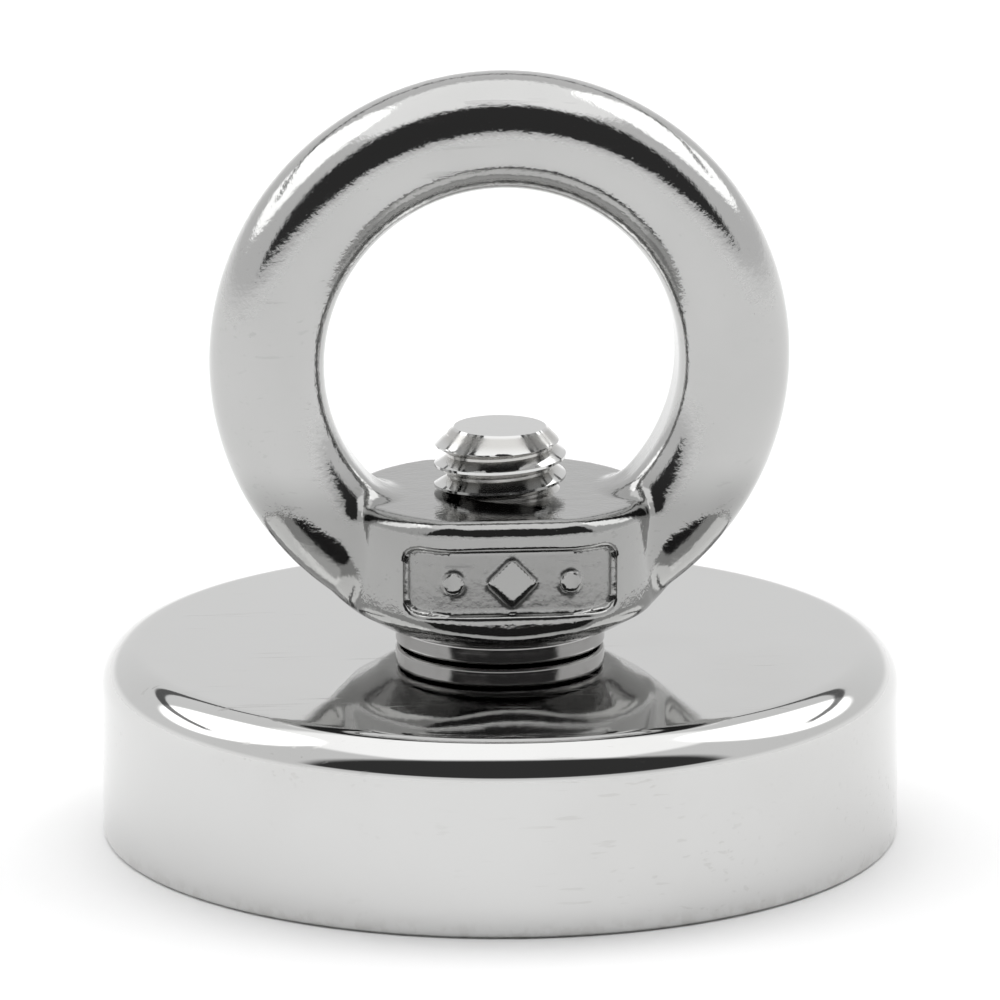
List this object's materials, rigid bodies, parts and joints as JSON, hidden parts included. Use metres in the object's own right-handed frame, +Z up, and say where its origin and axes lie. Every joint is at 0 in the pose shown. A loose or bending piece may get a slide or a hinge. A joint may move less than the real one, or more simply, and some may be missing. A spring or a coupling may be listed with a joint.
{
  "type": "magnet fishing magnet",
  "caption": "Round plated pot magnet with a countersunk screw, lock washer and threaded eye nut for a rope or carabiner.",
  "frame": {"origin": "centre of the pot's open pull face, which rests on the ground", "axes": "+Z up along the screw, away from the pull face. The eye lies in the XZ plane and its hole runs along Y, with -Y its front"},
  "size_m": [0.048, 0.048, 0.0464],
  "materials": {
    "plated_pot": "bright nickel plate",
    "nickel_magnet": "satin nickel plate",
    "black_resin": "cured potting resin",
    "plated_screw": "bright nickel plate",
    "plated_washer": "bright nickel plate",
    "plated_eye_nut": "polished nickel plate over a forging"
  },
  "bodies": {
    "base": {"steel_pot": "plated_pot", "ring_magnet": "nickel_magnet", "resin_seal": "black_resin", "countersunk_screw": "plated_screw"},
    "washer": {"lock_washer": "plated_washer"},
    "eye": {"eye_nut": "plated_eye_nut"}
  },
  "joints": [
    {"name": "eye_nut_turn", "type": "hinge", "parent": "base", "child": "washer", "pos_m": [0, 0, 0], "axis": [0, 0, 1], "range_deg": [0, 3425]},
    {"name": "eye_nut_rise", "type": "slide", "parent": "washer", "child": "eye", "axis": [0, 0, 1], "range_m": [0, 0.0119]}
  ],
  "couplings": [
    {"joint": "eye_nut_rise", "follows": "eye_nut_turn", "m_per_rad": 0.00019894}
  ]
}
